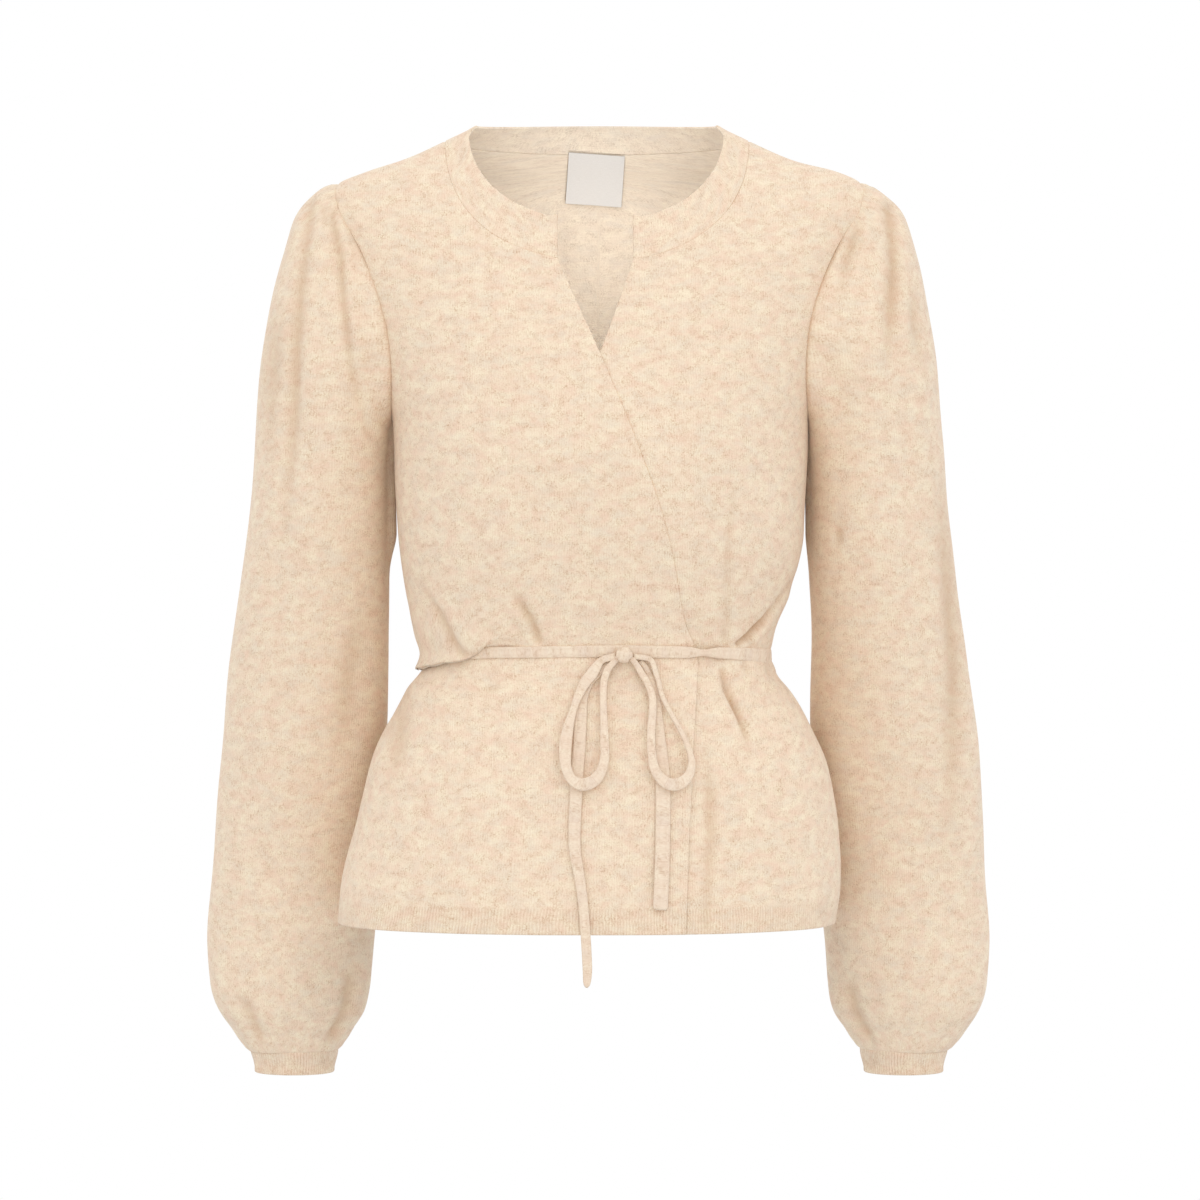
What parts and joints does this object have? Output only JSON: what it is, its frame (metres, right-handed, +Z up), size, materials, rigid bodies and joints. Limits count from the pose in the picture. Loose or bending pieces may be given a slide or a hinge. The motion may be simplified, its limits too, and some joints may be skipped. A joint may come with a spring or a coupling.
{
  "type": "wrap cardigan",
  "caption": "Fine-knit wrap cardigan with a round banded neck, gathered shoulders, balloon sleeves with ribbed cuffs, a tied waist and a flared peplum, held open as worn.",
  "frame": {"origin": "middle of the neck opening, at the height where the neckband's free edge crosses the shoulder ridges", "axes": "+Z up the garment, -Y out of the front, +X towards the wearer's left"},
  "size_m": [0.5726, 0.26, 0.6911],
  "materials": {
    "knit": "matte",
    "strap": "matte",
    "label": "matte"
  },
  "bodies": {
    "root": {"back": "knit", "right_front": "knit", "left_front": "knit", "neckband": "knit", "right_sleeve": "knit", "right_cuff": "knit", "left_sleeve": "knit", "left_cuff": "knit", "waist_tie": "strap", "bow_knot": "strap", "bow_loop_right": "strap", "bow_loop_left": "strap", "tie_tail_right": "strap", "tie_tail_left": "strap", "neck_label": "label"}
  },
  "joints": []
}
